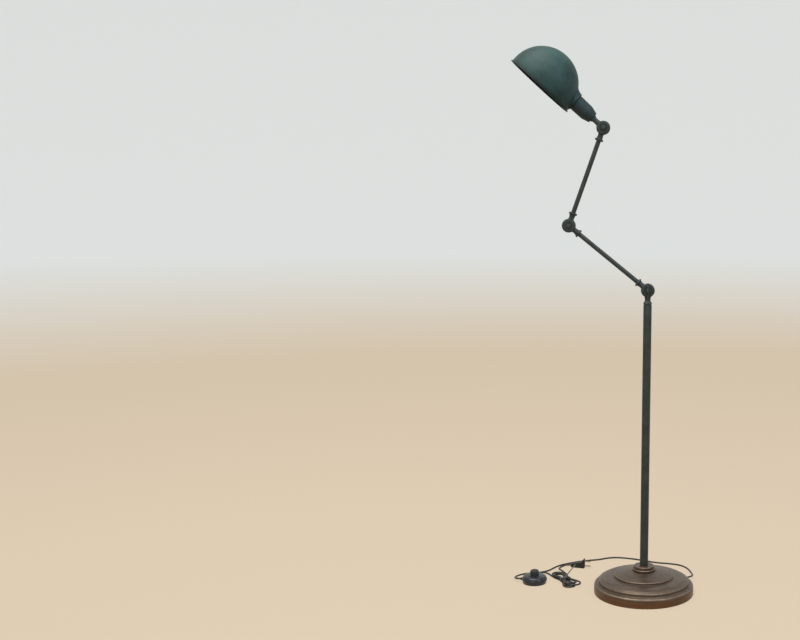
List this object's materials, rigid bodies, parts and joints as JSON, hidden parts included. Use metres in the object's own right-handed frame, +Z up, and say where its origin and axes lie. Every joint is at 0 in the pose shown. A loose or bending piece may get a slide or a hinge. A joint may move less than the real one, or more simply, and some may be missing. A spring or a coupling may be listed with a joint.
{
  "type": "adjustable arm floor lamp",
  "caption": "Standing lamp with a weighted stepped round base, a tube pole, jointed folding arms, a tilting domed metal shade round a bulb, and a mains lead with a foot switch.",
  "frame": {"origin": "on the floor, at the centre of the underside of the base", "axes": "+Z up along the pole, the shade faces -X, the wing nut and thumb knobs look along -Y"},
  "size_m": [0.5007, 0.4187, 1.4359],
  "materials": {
    "bronze_paint": "satin",
    "charcoal_paint": "satin",
    "shade_enamel": "satin",
    "cast_iron": "matte",
    "plain_steel": "satin",
    "brass": "satin",
    "nickel": "satin",
    "milky_glass": "matte",
    "white_plastic": "matte",
    "switch_plastic": "matte",
    "black_plastic": "matte",
    "black_rubber": "matte",
    "black_cord": "matte",
    "felt_pad": "matte",
    "fibre": "matte",
    "tie_plastic": "matte"
  },
  "bodies": {
    "stand": {"base_cover": "bronze_paint", "base_weight": "cast_iron", "base_pad": "felt_pad", "base_washer": "plain_steel", "base_nut": "plain_steel", "pole_stud": "plain_steel", "pole_plug": "plain_steel", "pole_collar": "bronze_paint", "pole_tube": "charcoal_paint", "pole_wire": "black_cord", "pole_knuckle": "charcoal_paint", "lower_bolt": "charcoal_paint", "lower_washer": "fibre", "cord_gland": "black_rubber", "switch_base": "switch_plastic", "switch_cover": "switch_plastic", "switch_block": "black_plastic", "switch_boots": "black_rubber", "plug_body": "black_rubber", "plug_blades": "brass", "cord_lead": "black_cord", "cord_link": "black_cord", "cord_hank": "black_cord", "cord_plug_lead": "black_cord", "hank_tie": "tie_plastic"},
    "lower_arm": {"lower_arm_foot": "charcoal_paint", "lower_arm_tube": "charcoal_paint", "lower_arm_tip": "charcoal_paint", "lower_arm_wire": "black_cord"},
    "upper_arm": {"upper_arm_foot": "charcoal_paint", "upper_arm_tube": "charcoal_paint", "upper_arm_tip": "charcoal_paint", "upper_arm_wire": "black_cord", "middle_bolt": "charcoal_paint", "middle_washer": "fibre", "top_bolt": "charcoal_paint", "top_washer": "fibre"},
    "head": {"head_knuckle": "charcoal_paint", "socket_cup": "shade_enamel", "socket_nut": "plain_steel", "lampholder": "black_plastic", "contact_leaf": "brass", "screw_shell": "brass", "bulb_cap": "nickel", "bulb_housing": "white_plastic", "bulb_globe": "milky_glass", "shade": "shade_enamel", "shade_screws": "plain_steel"},
    "wing_nut": {"wing_nut": "charcoal_paint"},
    "middle_knob": {"middle_knob": "charcoal_paint"},
    "top_knob": {"top_knob": "charcoal_paint"},
    "switch_button": {"switch_button": "switch_plastic"}
  },
  "joints": [
    {"name": "lower_arm_tilt", "type": "hinge", "parent": "stand", "child": "lower_arm", "pos_m": [0, 0, 0.813], "axis": [0, 1, 0], "range_deg": [-55, 70]},
    {"name": "upper_arm_tilt", "type": "hinge", "parent": "lower_arm", "child": "upper_arm", "pos_m": [-0.2073, 0, 0.97968], "axis": [0, 1, 0], "range_deg": [-80, 50]},
    {"name": "head_tilt", "type": "hinge", "parent": "upper_arm", "child": "head", "pos_m": [-0.12026, 0, 1.23103], "axis": [0, 1, 0], "range_deg": [-50, 120]},
    {"name": "wing_nut_turn", "type": "hinge", "parent": "stand", "child": "wing_nut", "pos_m": [0, 0, 0.813], "axis": [0, -1, 0], "range_deg": [-180, 180]},
    {"name": "middle_knob_turn", "type": "hinge", "parent": "upper_arm", "child": "middle_knob", "pos_m": [-0.2073, 0, 0.97968], "axis": [0, -1, 0], "range_deg": [-180, 180]},
    {"name": "top_knob_turn", "type": "hinge", "parent": "upper_arm", "child": "top_knob", "pos_m": [-0.12026, 0, 1.23103], "axis": [0, -1, 0], "range_deg": [-180, 180]},
    {"name": "switch_press", "type": "slide", "parent": "stand", "child": "switch_button", "axis": [0, 0, -1], "range_m": [0, 0.003], "stiffness_N_per_m": 600}
  ]
}
